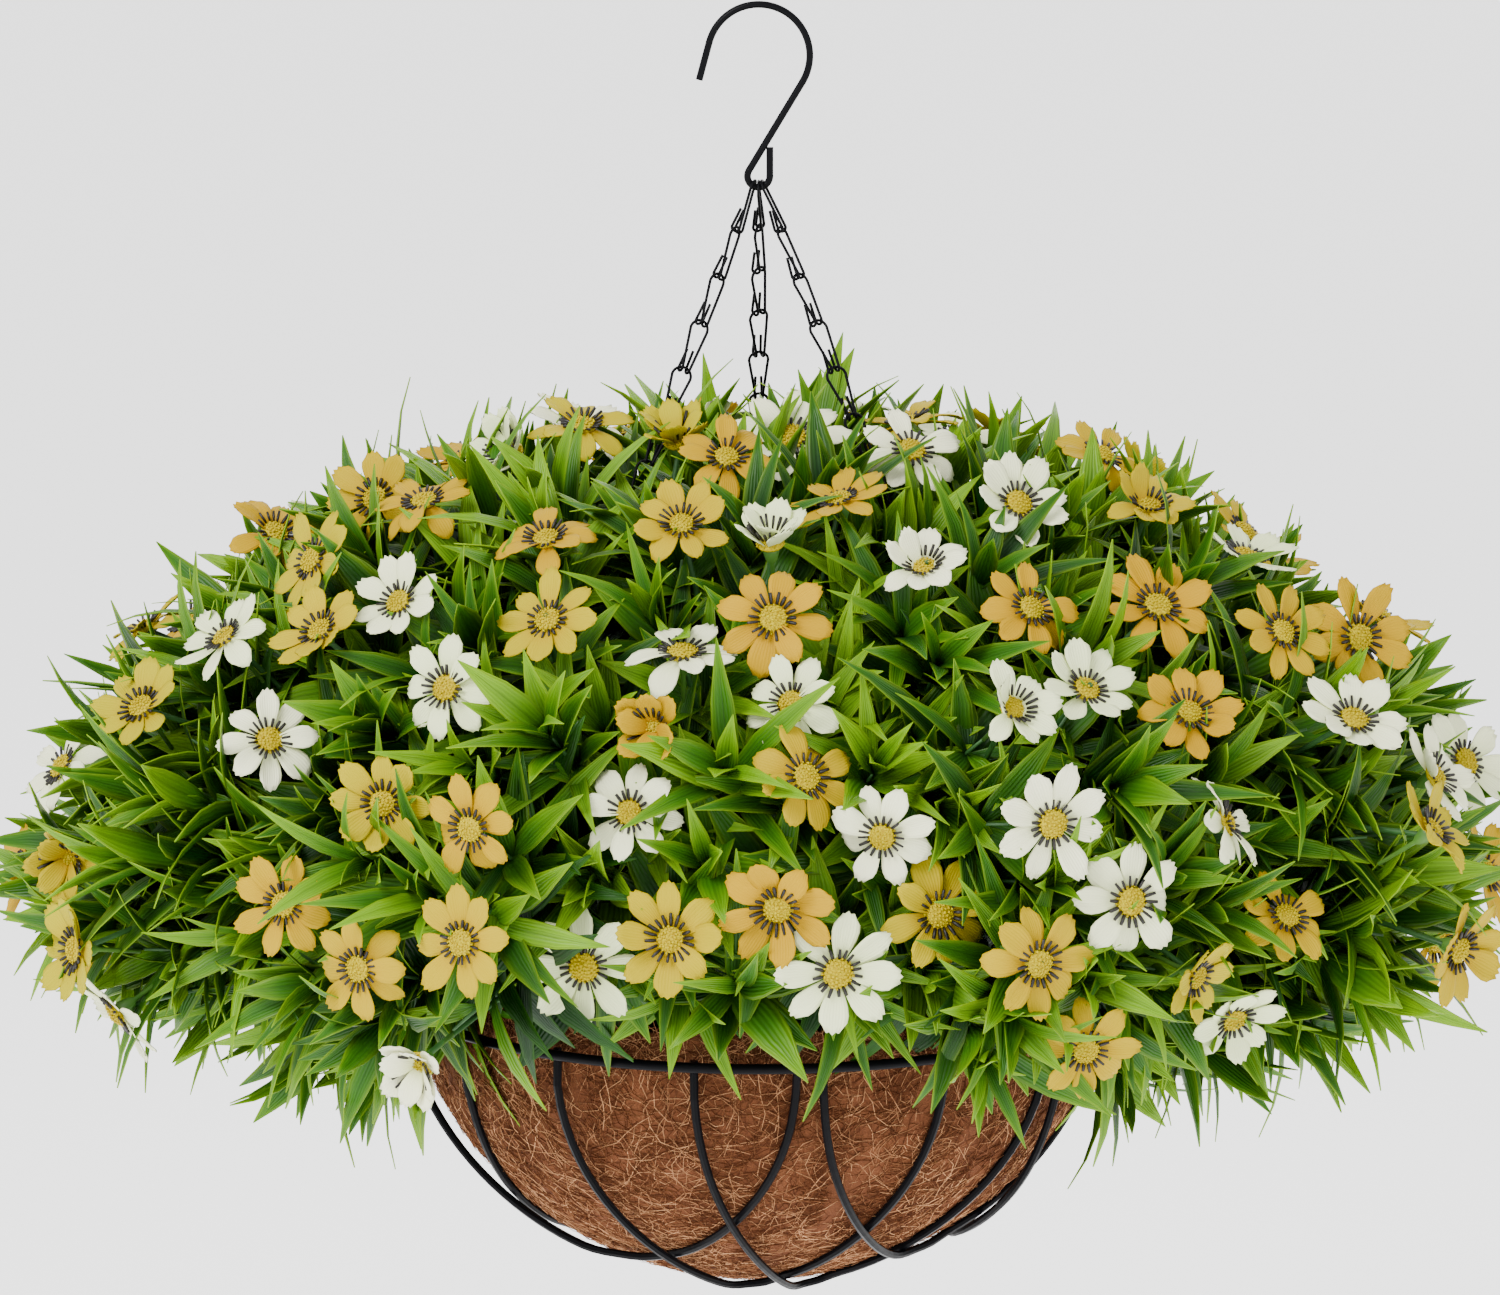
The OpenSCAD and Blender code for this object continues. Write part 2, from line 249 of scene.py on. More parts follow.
# ---- Coir liner ----
# A bowl pressed from coconut fibre and latex: a felted brown shell, with loose curly fibres
# lying every way over its outside and its edge.
def placing_tree():
    """A node tree that stands the shapes of a collection on points, as their attributes say."""
    tree = bpy.data.node_groups.new("stand_on_points", "GeometryNodeTree")
    face = tree.interface
    face.new_socket("Points", in_out="INPUT", socket_type="NodeSocketGeometry")
    face.new_socket("Shapes", in_out="INPUT", socket_type="NodeSocketCollection")
    face.new_socket("Finish", in_out="INPUT", socket_type="NodeSocketMaterial")
    face.new_socket("Pieces", in_out="OUTPUT", socket_type="NodeSocketGeometry")
    given = tree.nodes.new("NodeGroupInput")
    shapes = tree.nodes.new("GeometryNodeCollectionInfo")
    shapes.inputs["Separate Children"].default_value = True
    shapes.inputs["Reset Children"].default_value = True
    stand = tree.nodes.new("GeometryNodeInstanceOnPoints")
    stand.inputs["Pick Instance"].default_value = True
    for name, kind, socket in (("kind", "INT", "Instance Index"), ("turn", "FLOAT_VECTOR", "Rotation"),
                               ("stretch", "FLOAT_VECTOR", "Scale")):
        read = tree.nodes.new("GeometryNodeInputNamedAttribute")
        read.data_type = kind
        read.inputs["Name"].default_value = name
        tree.links.new(read.outputs["Attribute"], stand.inputs[socket])
    real = tree.nodes.new("GeometryNodeRealizeInstances")
    painted = tree.nodes.new("GeometryNodeSetMaterial")
    result = tree.nodes.new("NodeGroupOutput")
    tree.links.new(given.outputs["Points"], stand.inputs["Points"])
    tree.links.new(given.outputs["Shapes"], shapes.inputs["Collection"])
    tree.links.new(given.outputs["Finish"], painted.inputs["Material"])
    tree.links.new(shapes.outputs["Instances"], stand.inputs["Instance"])
    tree.links.new(stand.outputs["Instances"], real.inputs["Geometry"])
    tree.links.new(real.outputs["Geometry"], painted.inputs["Geometry"])
    tree.links.new(painted.outputs["Geometry"], result.inputs["Pieces"])
    return tree


stand_on_points = placing_tree()


def shape_set(name, shapes):
    """A collection of small meshes, each given as its vertices, faces and, per vertex, a UV."""
    group = bpy.data.collections.new(name)
    for k, (points, faces, uv) in enumerate(shapes):
        mesh = bpy.data.meshes.new(f"{name}_{k:02d}")
        mesh.from_pydata([tuple(p) for p in points], [], [tuple(int(i) for i in f) for f in faces])
        layer = mesh.uv_layers.new(name="UVMap")
        corners = np.zeros(len(mesh.loops), int)
        mesh.loops.foreach_get("vertex_index", corners)
        layer.data.foreach_set("uv", np.asarray(uv, float)[corners].ravel())
        mesh.shade_smooth()
        group.objects.link(bpy.data.objects.new(mesh.name, mesh))
    return group


def facing(out, spin):
    """Turn that stands +Z along a direction and spins the shape about it."""
    tilt = Vector(out).normalized().to_track_quat("Z", "Y").to_matrix()
    return (tilt @ Matrix.Rotation(spin, 3, "Z")).to_euler()


def lying(along, up):
    """Turn that lays +Y along a direction, with +Z as near to up as it can be."""
    y = Vector(along).normalized()
    z = Vector(up) - Vector(up).dot(y) * y
    z = z.normalized() if z.length > 1e-6 else y.orthogonal().normalized()
    return Matrix((y.cross(z), y, z)).transposed().to_euler()


def stand(name, group, material, spots):
    """One mesh of shapes, from spots of (place, turn, stretch, kind, tone)."""
    mesh = bpy.data.meshes.new(name + "_points")
    mesh.from_pydata([tuple(s[0]) for s in spots], [], [])
    for title, kind, field, values in (
            ("turn", "FLOAT_VECTOR", "vector", [tuple(s[1]) for s in spots]),
            ("stretch", "FLOAT_VECTOR", "vector", [tuple(s[2]) for s in spots]),
            ("kind", "INT", "value", [int(s[3]) for s in spots]),
            ("tone", "FLOAT", "value", [float(s[4]) for s in spots])):
        data = mesh.attributes.new(title, kind, "POINT").data
        data.foreach_set(field, np.array(values).ravel())
    holder = bpy.data.objects.new(name + "_points", mesh)
    bpy.context.scene.collection.objects.link(holder)
    modifier = holder.modifiers.new("stand", "NODES")
    modifier.node_group = stand_on_points
    sockets = {s.name: s.identifier for s in stand_on_points.interface.items_tree
               if s.in_out == "INPUT"}
    modifier[sockets["Shapes"]] = group
    modifier[sockets["Finish"]] = material
    depsgraph = bpy.context.evaluated_depsgraph_get()
    made = bpy.data.meshes.new_from_object(holder.evaluated_get(depsgraph))
    made.name = name
    bpy.data.objects.remove(holder)
    piece = bpy.data.objects.new(name, made)
    bpy.context.scene.collection.objects.link(piece)
    return piece


def thin_sheet(grid, thickness):
    """Vertices, faces and UVs of a closed thin sheet over a grid of points (rows, columns, 3)."""
    rows, columns = grid.shape[:2]
    along = np.gradient(grid, axis=0)
    across = np.gradient(grid, axis=1)
    out = np.cross(across, along)
    out /= np.maximum(np.linalg.norm(out, axis=2, keepdims=True), 1e-9)
    top = (grid + out * thickness / 2).reshape(-1, 3)
    under = (grid - out * thickness / 2).reshape(-1, 3)
    half = rows * columns

    def at(r, c):
        return r * columns + c

    faces = []
    for r in range(rows - 1):
        for c in range(columns - 1):
            quad = (at(r, c), at(r, c + 1), at(r + 1, c + 1), at(r + 1, c))
            faces.append(quad)
            faces.append(tuple(half + k for k in reversed(quad)))
    edge = ([at(0, c) for c in range(columns)] + [at(r, columns - 1) for r in range(1, rows)]
            + [at(rows - 1, c) for c in range(columns - 2, -1, -1)]
            + [at(r, 0) for r in range(rows - 2, 0, -1)])
    for a, b in zip(edge, edge[1:] + edge[:1]):
        faces.append((b, a, half + a, half + b))
    v, u = np.meshgrid(np.linspace(0, 1, rows), np.linspace(0, 1, columns), indexing="ij")
    uv = np.stack([u.ravel(), v.ravel()], 1)
    return np.vstack([top, under]), faces, np.vstack([uv, uv])


def joined(shapes):
    """Several shapes as one."""
    points, faces, uvs, count = [], [], [], 0
    for p, f, uv in shapes:
        points.append(p)
        faces += [tuple(k + count for k in face) for face in f]
        uvs.append(uv)
        count += len(p)
    return np.vstack(points), faces, np.vstack(uvs)


def even_spots(points, count, taken=()):
    """Indices of points that lie far from one another and from the places already taken."""
    if len(taken):
        gap = np.linalg.norm(points[:, None] - np.array(taken)[None], axis=2).min(1)
    else:
        gap = np.full(len(points), 1.0)
    chosen = []
    for _ in range(count):
        k = int(np.argmax(gap))
        chosen.append(k)
        gap = np.minimum(gap, np.linalg.norm(points - points[k], axis=1))
    return chosen


MM = 0.001
draw = np.random.default_rng(7)
liner_low, liner_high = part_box("coir_liner")
liner_r = (liner_high.x - liner_low.x) / 2
liner_depth = rim_centre.z - liner_low.z
liner_wall = 9 * MM
liner_lip = liner_high.z - rim_centre.z
bowl_power = 1.9


def bowl_radius(r, depth, down):
    """Radius of a bowl at a depth under the rim."""
    return r * np.maximum(1 - (np.clip(down, 0, depth) / depth) ** bowl_power, 0) ** (1 / bowl_power)


def liner_profile(r, depth, lip, rows):
    down = depth * np.sin(np.linspace(0, math.pi / 2, rows))
    down = np.concatenate([np.linspace(-lip, -1 * MM, 5), down])
    return np.stack([bowl_radius(r, depth, down), rim_centre.z - down], 1)


def lathe(profile, columns, ripple):
    """Points of a profile turned about the Z axis, moved in and out by soft ripples."""
    turn = np.linspace(0, math.tau, columns, endpoint=False)
    r = profile[:, :1] * np.ones(columns)
    bumps = sum(draw.normal() * np.sin(k * turn[None] + draw.normal() * 9 * profile[:, 1:] / 0.1
                                       + draw.random() * math.tau) for k in range(5, 44, 3))
    r = np.maximum(r - ripple * (0.5 + 0.18 * bumps) * (profile[:, :1] > 2 * MM), 0)
    return np.stack([r * np.cos(turn), r * np.sin(turn), profile[:, 1:] * np.ones(columns)], 2)


liner_columns = 160
outside = lathe(liner_profile(liner_r, liner_depth, liner_lip, 46), liner_columns, 0.8 * MM)
inside = lathe(liner_profile(liner_r - liner_wall, liner_depth - liner_wall, liner_lip, 30),
               liner_columns, 0.8 * MM)
rings = np.concatenate([outside[-2::-1], inside[:-1]])
last_ring = len(rings) - 1
points = np.vstack([rings.reshape(-1, 3), (0, 0, outside[-1, 0, 2]), (0, 0, inside[-1, 0, 2])])
under_middle, floor_middle = len(points) - 2, len(points) - 1
liner_faces = []
for c in range(liner_columns):
    after = (c + 1) % liner_columns
    liner_faces.append((after, c, under_middle))
    liner_faces.append((last_ring * liner_columns + c, last_ring * liner_columns + after, floor_middle))
    for r in range(last_ring):
        low, high = r * liner_columns, (r + 1) * liner_columns
        liner_faces.append((low + c, low + after, high + after, high + c))


def tone_of(material):
    """How dark or light a placed shape is drawn to be."""
    return first(material, "ShaderNodeAttribute", {"attribute_name": "tone"}, {}, 2)


def coir_finish(name, dark, light, felted):
    """Brown coir, which varies over the felt, or from strand to strand."""
    coir = finish(name, {"Roughness": 0.85, "Specular IOR Level": 0.1})
    blotch = noise(coir, 34, 4)
    grain = noise(coir, 1300, 3, (1, 1, 1.6))
    if felted:
        shade = 0.35 * blotch + 0.65 * grain
    else:
        shade = 0.75 * tone_of(coir) + 0.25 * blotch
    between = tuple(math.sqrt(a * b) for a, b in zip(dark, light))
    feed(coir, "Base Color", shade.ramp([(0.2, dark), (0.55, between), (0.9, light)]))
    bump(coir, grain, 0.6, 0.0006)
    return coir


felt = coir_finish("felted_coir", (0.05, 0.015, 0.006), (0.36, 0.135, 0.052), True)
strand = coir_finish("coir_strands", (0.09, 0.026, 0.009), (0.80, 0.42, 0.20), False)
liner_mesh = bpy.data.meshes.new("coir_shell")
liner_mesh.from_pydata(points.tolist(), [], liner_faces)
liner_mesh.shade_smooth()
liner_mesh.materials.append(felt)
coir_shell = bpy.data.objects.new("coir_shell", liner_mesh)
bpy.context.scene.collection.objects.link(coir_shell)
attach(coir_shell, "basket")
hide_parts("coir_liner")


def tube(path, radii, sides):
    """Vertices, faces and UVs of a closed round tube along a path."""
    path = np.asarray(path, float)
    along = np.gradient(path, axis=0)
    along /= np.linalg.norm(along, axis=1, keepdims=True)
    guide = np.array([0.31, 0.11, 0.94])
    across = np.cross(along, guide)
    across /= np.linalg.norm(across, axis=1, keepdims=True)
    over = np.cross(across, along)
    turn = np.linspace(0, math.tau, sides, endpoint=False)[None, :, None]
    ring = path[:, None] + np.asarray(radii)[:, None, None] * (
        np.cos(turn) * across[:, None] + np.sin(turn) * over[:, None])
    n = len(path)
    faces = [(r * sides + (c + 1) % sides, r * sides + c, (r + 1) * sides + c,
              (r + 1) * sides + (c + 1) % sides) for r in range(n - 1) for c in range(sides)]
    faces.append(tuple(range(sides)))
    faces.append(tuple((n - 1) * sides + c for c in reversed(range(sides))))
    v, u = np.meshgrid(np.linspace(0, 1, n), np.linspace(0, 1, sides), indexing="ij")
    return ring.reshape(-1, 3), faces, np.stack([u.ravel(), v.ravel()], 1)


def curl(length, bend, wave):
    """A loose fibre along +Y that curls in its own plane and lifts a little at its ends."""
    t = np.linspace(-1, 1, 5)
    angle = bend * t + wave * np.sin(3 * t)
    step = length / 4
    x = np.cumsum(np.sin(angle)) * step
    y = np.cumsum(np.cos(angle)) * step
    z = 0.25 * MM + 0.5 * MM * t ** 2 * draw.uniform(-0.6, 1.6)
    return np.stack([x - x.mean(), y - y.mean(), z], 1)


# length, bend and wave of each kind of fibre
fibre_kinds = ((26, 0.6, 0.3), (32, 1.1, 0.2), (20, 1.6, 0.4), (28, 0.2, 0.5), (24, 0.8, -0.6),
               (30, 0.4, -0.3), (14, 2.2, 0.2))
fibre_radii = [0.09 * MM, 0.18 * MM, 0.2 * MM, 0.18 * MM, 0.08 * MM]
fibre_shapes = shape_set("fibre", [
    tube(curl(length * MM, bend, wave), fibre_radii, 3) for length, bend, wave in fibre_kinds])
fibres_in_layer = 5400
on_the_edge = 0.13        # the part of the fibres that lie on the liner's raised edge
for layer in (1, 2, 3):
    fibres = []
    for _ in range(fibres_in_layer):
        turn = draw.random() * math.tau
        down = liner_depth * (1 - draw.random() ** 1.5) * draw.uniform(0.9, 1)
        if draw.random() < on_the_edge:
            down = -liner_lip * draw.random()
        radius = float(bowl_radius(liner_r, liner_depth, down))
        lower = float(bowl_radius(liner_r, liner_depth, max(down, 0) + 1 * MM))
        slope = Vector((1 * MM, 0, radius - lower if down > 0 else 0)).normalized()
        out = Vector((slope.x * math.cos(turn), slope.x * math.sin(turn), -slope.z))
        place = Vector((radius * math.cos(turn), radius * math.sin(turn), rim_centre.z - down))
        aim = Vector(draw.normal(size=3))
        aim -= out * aim.dot(out)
        fibres.append((place - out * draw.uniform(0.2, 0.7) * MM, lying(aim, out),
                       (1, 1, 1), draw.integers(len(fibre_kinds)), draw.random() ** 1.6))
    piece = stand(f"coir_fibres_{layer}", fibre_shapes, strand, fibres)
    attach(piece, "basket")


# ---- Foam block ----
# A block of green florist's foam fills the bowl under the greenery and holds the stems.
foam = finish("florist_foam", {"Roughness": 0.95})
cells = noise(foam, 700, 2)
feed(foam, "Base Color", cells.ramp([(0.3, (0.03, 0.08, 0.035)), (0.7, (0.06, 0.15, 0.06))]))
bump(foam, cells, 0.6, 0.0008)
coat("foam_block", foam)


# ---- Leaf shapes and finishes ----
# Each leaf is a stamped and pleated plastic blade, dark at its foot and yellow-green at its
# tip, pushed in whorls on the wired stems.
def blade(length, width, arch, fold, rows, columns):
    """A lance-shaped leaf along +Y from the origin. arch bends it back, fold lifts its sides."""
    v = np.linspace(0, 1, rows)[:, None]
    u = np.linspace(-1, 1, columns)[None, :]
    half = width / 2 * (0.16 + 0.84 * np.sin(np.pi * v ** 0.8) ** 0.9) * (1 - v ** 6)
    half = np.maximum(half, 0.15 * MM)
    bend = arch * v
    y = length * np.sin(bend) / arch
    z = -length * (1 - np.cos(bend)) / arch
    lift = np.abs(u) * half * fold
    x = u * half * math.sqrt(1 - fold ** 2)
    return np.stack([x + 0 * v, y + 0 * u, z + lift], 2)


# length, width, arch and fold of each kind of leaf
leaf_kinds = ((1.0, 1.0, 0.3, 0.2), (1.1, 1.1, 0.6, 0.15), (0.9, 1.15, 0.15, 0.3), (1.2, 0.85, 0.8, 0.2),
              (1.15, 0.8, 0.4, 0.3), (0.8, 1.0, 0.5, 0.35), (1.05, 1.2, 0.5, 0.12), (1.25, 0.75, 0.9, 0.25))


def leaf_set(name, rows, columns):
    """Every kind of leaf, as sheets of so many rows and columns of points."""
    return shape_set(name, [thin_sheet(blade(47 * MM * long, 11 * MM * wide, arch, fold, rows, columns),
                                       0.35 * MM) for long, wide, arch, fold in leaf_kinds])


leaf_shapes = leaf_set("leaf", 6, 5)
inner_leaf_shapes = leaf_set("inner_leaf", 5, 3)
small_leaf_kinds = ((1.0, 0.4), (1.25, 0.8), (0.8, 0.2))          # length and arch
small_leaf_shapes = shape_set("small_leaf", [
    thin_sheet(blade(10 * MM * long, 6 * MM, arch, 0.3, 4, 3), 0.4 * MM)
    for long, arch in small_leaf_kinds])


def own_place(material):
    """How far across and along a blade or a petal a point lies."""
    uv = first(material, "ShaderNodeUVMap", {"uv_map": "UVMap"}, {})
    across = uv.node("ShaderNodeSeparateXYZ", {}, {"Vector": uv})
    return across, Signal(material.node_tree, across.socket.node.outputs["Y"])


def leaf_finish(name, foot, body, tip, edge):
    """Ribbed green plastic, from dark at the foot to light at the tip and the edges."""
    leaf = finish(name, {"Specular IOR Level": 0.22})
    across, along = own_place(leaf)
    tone = tone_of(leaf)
    side = (across * 2 - 1).size()
    colour = (along * 0.8 + 0.8 * tone - 0.34).ramp([(0.0, foot), (0.5, body), (1.0, tip)])
    colour = (side ** 4 * along * 0.7).mix(colour, (*edge, 1))
    ribs = (across * 44).sine()
    # The grooves between the ribs and the crease down the middle of the blade are mixed towards a dark
    # green: painted shade.
    colour = (0.12 - 0.10 * ribs + 0.3 * (1 - side) ** 8).mix(colour, (*[c * 0.5 for c in foot], 1))
    feed(leaf, "Base Color", colour)
    feed(leaf, "Roughness", 0.34 + 0.12 * noise(leaf, 60))
    bump(leaf, ribs, 0.4, 0.0004)
    return leaf


bright_leaf = leaf_finish("bright_leaf", (0.004, 0.038, 0.002), (0.030, 0.135, 0.0),
                          (0.17, 0.36, 0.0), (0.26, 0.42, 0.0))
# A darker copy of the same leaf finish for the whorls deep inside the bushes: painted shade for the inside
# of the bush.
deep_leaf = leaf_finish("deep_leaf", (0.002, 0.018, 0.002), (0.006, 0.045, 0.002),
                        (0.025, 0.12, 0.002), (0.04, 0.15, 0.002))
mat_leaf = leaf_finish("mat_leaf", (0.004, 0.04, 0.01), (0.014, 0.10, 0.022), (0.04, 0.19, 0.035),
                       (0.05, 0.20, 0.04))


# ---- Base greenery ----
# A mat of small dark plastic leaves hides the foam and ends just inside the liner's edge.
mat_low, mat_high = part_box("base_greenery")
mat_leaf_count = 1500
mat_leaves = []
for _ in range(mat_leaf_count):
    turn = draw.random() * math.tau
    radius = (mat_high.x - 2 * MM) * math.sqrt(draw.random())
    lift = draw.uniform(0.5, 1.0) if radius < mat_high.x - 8 * MM else draw.uniform(0.1, 0.9)
    place = Vector((radius * math.cos(turn), radius * math.sin(turn),
                    mat_low.z + lift * (mat_high.z - mat_low.z - 4 * MM)))
    aim = Vector((*draw.normal(size=2), draw.uniform(0.1, 1.2)))
    mat_leaves.append((place, lying(aim, (0, 0, 1)), (1.1, 1, 1), draw.integers(len(small_leaf_kinds)),
                       draw.random()))
mat = stand("base_leaf_mat", small_leaf_shapes, mat_leaf, mat_leaves)
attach(mat, "basket")
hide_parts("base_greenery")


# ---- Bloom shapes and finishes ----
# Each bloom has eight stamped fabric petals with notched tips round a beaded yellow disc, with
# short black marks about the disc and a green cup behind. They are pressed together on a pin.
petal_count = 8
mark_count = 18
bead_count = 58
disc_r = 6.0 * MM


def petal(length, width, rise, fall, trough, rows=7, columns=7):
    """A petal along +Y from the disc. rise and fall are its slopes at its foot and its tip."""
    v = np.linspace(0, 1, rows)[:, None]
    u = np.linspace(-1, 1, columns)[None, :]
    wide = np.where(v < 0.7, 0.2 + 0.8 * np.sin(np.pi / 2 * v / 0.7) ** 1.2,
                    np.sqrt(1 - 0.6 * (np.maximum(v - 0.7, 0) / 0.3) ** 2))
    half = width / 2 * wide
    slope = rise + (fall - rise) * v
    reach = length / (rows - 1)
    y = np.cumsum(np.cos(slope), 0) * reach - reach
    z = np.cumsum(np.sin(slope), 0) * reach - reach * np.sin(rise)
    teeth = np.sin(1.5 * np.pi * u) ** 2
    short = length * (0.09 * u ** 2 * v ** 3 + 0.045 * teeth * v ** 5)
    y = y + 2.5 * MM - short * np.cos(slope)
    z = z + trough * half * u ** 2 + 0.25 * MM * np.cos(3 * np.pi * u) * v - short * np.sin(slope)
    return np.stack([u * half + 0 * v, y, z], 2)


def turned(shape, angle, roll=0.0, lift=0.0):
    """A shape rolled about its own length, then turned about the bloom's axis."""
    points, faces, uv = shape
    spin = Matrix.Rotation(angle, 3, "Z") @ Matrix.Rotation(roll, 3, "Y")
    return points @ np.array(spin).T + (0, 0, lift), faces, uv


def corolla(rise, fall, spread, size):
    """The petals of one bloom."""
    petals = []
    for k in range(petal_count):
        one = thin_sheet(petal(21 * MM * size * draw.uniform(0.92, 1.06), 11 * MM * draw.uniform(0.86, 1.1),
                               rise + draw.normal(0, spread), fall + draw.normal(0, 1.6 * spread),
                               draw.uniform(0.0, 0.3)), 0.4 * MM)
        petals.append(turned(one, math.tau * (k + draw.normal(0, 0.06)) / petal_count,
                             draw.normal(0, 0.12), (k % 2) * 0.5 * MM))
    return joined(petals)


def marks(rise):
    """Short black strokes that lie over the feet of the petals."""
    strokes = []
    for k in range(mark_count):
        r = np.array([5.2, 7.0, 9.3 + draw.uniform(-0.8, 0.6)]) * MM
        path = np.stack([0 * r, r, (r - 2.5 * MM) * math.tan(rise) + 1.5 * MM], 1)
        strokes.append(turned(tube(path, [0.55 * MM, 0.72 * MM, 0.6 * MM], 4),
                              math.tau * (k + draw.normal(0, 0.1)) / mark_count))
    return joined(strokes)


def beaded_disc():
    """A low dome of small beads in a sunflower spiral."""
    beads = []
    corners = np.array([(1, 0, 0), (0, 1, 0), (-1, 0, 0), (0, -1, 0), (0, 0, 1), (0, 0, -1)], float)
    sides = [(0, 1, 4), (1, 2, 4), (2, 3, 4), (3, 0, 4), (1, 0, 5), (2, 1, 5), (3, 2, 5), (0, 3, 5)]
    for k in range(bead_count):
        r = disc_r * math.sqrt((k + 0.5) / bead_count)
        turn = k * math.radians(137.5)
        place = np.array([r * math.cos(turn), r * math.sin(turn),
                          1.6 * MM + 2.4 * MM * (1 - (r / disc_r) ** 2) + draw.uniform(0, 0.5) * MM])
        beads.append((corners * 0.72 * MM * draw.uniform(0.8, 1.2) + place, sides,
                      np.full((6, 2), (draw.random(), r / disc_r))))
    dome = tube([(0, 0, 0), (0, 0, 1.4 * MM), (0, 0, 2.8 * MM), (0, 0, 3.8 * MM)],
                [disc_r * 0.8, disc_r, disc_r * 0.75, disc_r * 0.2], 12)
    return joined(beads + [dome])


def green_cup():
    """The cup behind the petals, with the end of its pin."""
    return tube([(0, 0, 1 * MM), (0, 0, -1.5 * MM), (0, 0, -6 * MM), (0, 0, -8 * MM), (0, 1 * MM, -26 * MM)],
                [3.2 * MM, 3.6 * MM, 2.4 * MM, 1 * MM, 0.9 * MM], 8)


# slope at the foot and at the tip, unevenness and size of the petals of each kind of bloom
openings = ((0.3, 0.0, 0.16, 1.0), (0.45, -0.1, 0.2, 1.0), (0.15, 0.1, 0.14, 1.05),
            (0.35, 0.35, 0.2, 0.95), (0.25, -0.35, 0.25, 1.0), (0.5, 0.2, 0.25, 1.0),
            (0.95, 0.75, 0.22, 0.95), (0.7, 0.2, 0.25, 0.95))
kind_odds = (0.17, 0.15, 0.15, 0.15, 0.14, 0.12, 0.06, 0.06)
disc_kinds = 3
corolla_shapes = shape_set("corolla", [corolla(*o) for o in openings])
mark_shapes = shape_set("disc_marks", [marks(o[0]) for o in openings])
disc_shapes = shape_set("beaded_disc", [beaded_disc() for _ in range(disc_kinds)])
cup_shapes = shape_set("green_cup", [green_cup()])


def petal_finish(name, foot, light, dark):
    """Thin veined fabric, light or dark by bloom, and deeper at the foot of each petal."""
    fabric = finish(name, {"Roughness": 0.6, "Specular IOR Level": 0.12})
    across, along = own_place(fabric)
    colour = tone_of(fabric).mix((*light, 1), (*dark, 1))
    colour = ((1 - along) ** 3 * 0.8).mix(colour, (*foot, 1))
    veins = (across * 60).sine()
    bump(fabric, veins, 0.25, 0.0003)
    feed(fabric, "Base Color", colour)
    return fabric


yellow_petal = petal_finish("yellow_petal", (0.42, 0.18, 0.0), (0.45, 0.385, 0.0), (0.49, 0.27, 0.0))
cream_petal = petal_finish("cream_petal", (0.55, 0.66, 0.20), (0.95, 0.95, 0.66), (0.82, 0.90, 0.50))
black_mark = finish("black_mark", {"Base Color": (0.008, 0.006, 0.004, 1), "Roughness": 0.5})
bead = finish("beaded_yellow", {"Roughness": 0.6, "Specular IOR Level": 0.15})
bead_grain = noise(bead, 1500, 2)
feed(bead, "Base Color", bead_grain.ramp([(0.3, (0.38, 0.24, 0.0)), (0.65, (0.60, 0.50, 0.0))]))
cup_green = finish("cup_green", {"Roughness": 0.5})
feed(cup_green, "Base Color", noise(cup_green, 90).ramp([(0.3, (0.03, 0.12, 0.01)),
                                                         (0.7, (0.10, 0.22, 0.03))]))


# ---- Bushes ----
# Nine bushes of moulded stems are pushed into the foam. Every stem ends in a spray: tiers of
# leaves that close over its tip, or two tiers under a bloom. Low sprays hang over the rim.
bush_count = 9
heart = Vector((0, 0, rim_centre.z + 40 * MM))
stem_green = finish("moulded_stem", {"Roughness": 0.5})
feed(stem_green, "Base Color", noise(stem_green, 120).ramp([(0.3, (0.012, 0.06, 0.01)),
                                                            (0.7, (0.03, 0.11, 0.02))]))
stalk_bows = (-2 * MM, 2 * MM)
stalk_shapes = shape_set("stalk", [
    tube([(0, 0, 0), (bow, 0, 22 * MM), (0, 0, 48 * MM)], [1.0 * MM, 0.9 * MM, 0.6 * MM], 6)
    for bow in stalk_bows])
# depth under the tip, leaves, lean, size and painted light of each tier of a spray: deep tiers get a darker
# tone as painted shade, tiers near the tip a lighter one
bloom_tiers = ((48, 6, 0.86, 1.08, -0.15), (36, 5, 0.95, 0.92, 0.1))
leafy_tiers = ((48, 6, 0.86, 1.08, -0.15), (33, 5, 0.5, 1.08, 0), (20, 4, 0.28, 0.85, 0.15))
stalk_depth = 66 * MM
skin_samples = 500
sprays_per_m2 = 580
inner_whorls_per_m2 = 820


def bloom_seats(node):
    """The foot and the outward direction of each bloom of a frame node."""
    mesh = nodes[node].data
    points = np.array([v.co for v in mesh.vertices])
    key = {}
    same = np.array([key.setdefault(tuple(np.round(p * 1e5).astype(int)), k) for k, p in enumerate(points)])
    parent = np.arange(len(points))

    def root(k):
        while parent[k] != k:
            parent[k] = parent[parent[k]]
            k = parent[k]
        return k

    for k, other in enumerate(same):
        parent[root(k)] = root(other)
    for a, b in (e.vertices for e in mesh.edges):
        parent[root(a)] = root(b)
    groups = {}
    for k in range(len(points)):
        groups.setdefault(root(k), []).append(k)
    seats = []
    for members in groups.values():
        cloud = np.unique(np.round(points[members], 6), axis=0)
        spread = np.linalg.svd(cloud - cloud.mean(0), full_matrices=False)[2]
        axis = Vector(spread[2])
        centre = Vector(cloud.mean(0))
        if axis.dot(centre - heart) < 0:
            axis = -axis
        low = min(axis.dot(Vector(p) - centre) for p in cloud)
        seats.append((centre + axis * low, axis))
    return sorted(seats, key=lambda s: (round(s[0].x, 4), round(s[0].z, 4)))


